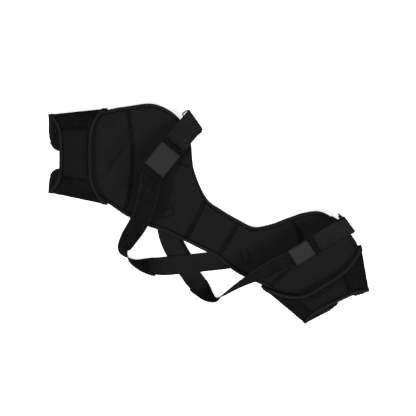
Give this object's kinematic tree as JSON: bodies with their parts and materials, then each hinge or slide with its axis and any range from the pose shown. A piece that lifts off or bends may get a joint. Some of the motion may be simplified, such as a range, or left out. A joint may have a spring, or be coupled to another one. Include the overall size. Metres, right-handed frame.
{
  "type": "shoulder brace",
  "caption": "Double shoulder brace laid flat: a flared neoprene body with an arm band at each end and two crossing straps that fold through rings.",
  "frame": {"origin": "bottom centre of the whole brace's box as it lies on a floor", "axes": "+X along its longest extent, from the left arm band to the right one; +Y up in the view from above; +Z up off the floor, towards the body side"},
  "size_m": [0.6936, 0.4748, 0.0634],
  "materials": {
    "neoprene": "matt knit over foam",
    "binding": "matt woven tape",
    "loop_pile": "brushed loop pile",
    "elastic": "ribbed elastic webbing",
    "grip": "smooth micro hook",
    "ring": "satin black"
  },
  "bodies": {
    "root": {"left_wing_panel": "neoprene", "left_shoulder_panel": "neoprene", "yoke_panel": "neoprene", "right_shoulder_panel": "neoprene", "right_wing_panel": "neoprene", "upper_edge_binding": "binding", "lower_edge_binding": "binding", "left_arm_band": "neoprene", "left_upper_loop_panel": "loop_pile", "left_lower_loop_panel": "loop_pile", "left_mouth_binding": "binding", "left_inner_binding": "binding", "left_elastic_strap": "elastic", "left_loop_strap": "loop_pile", "left_shoulder_strap": "elastic", "left_grip_patch": "grip", "left_ring": "ring", "left_ring_tab": "elastic", "right_arm_band": "neoprene", "right_upper_loop_panel": "loop_pile", "right_lower_loop_panel": "loop_pile", "right_mouth_binding": "binding", "right_inner_binding": "binding", "right_elastic_strap": "elastic", "right_loop_strap": "loop_pile", "right_shoulder_strap": "elastic", "right_grip_patch": "grip", "right_ring": "ring", "right_ring_tab": "elastic"}
  },
  "joints": []
}
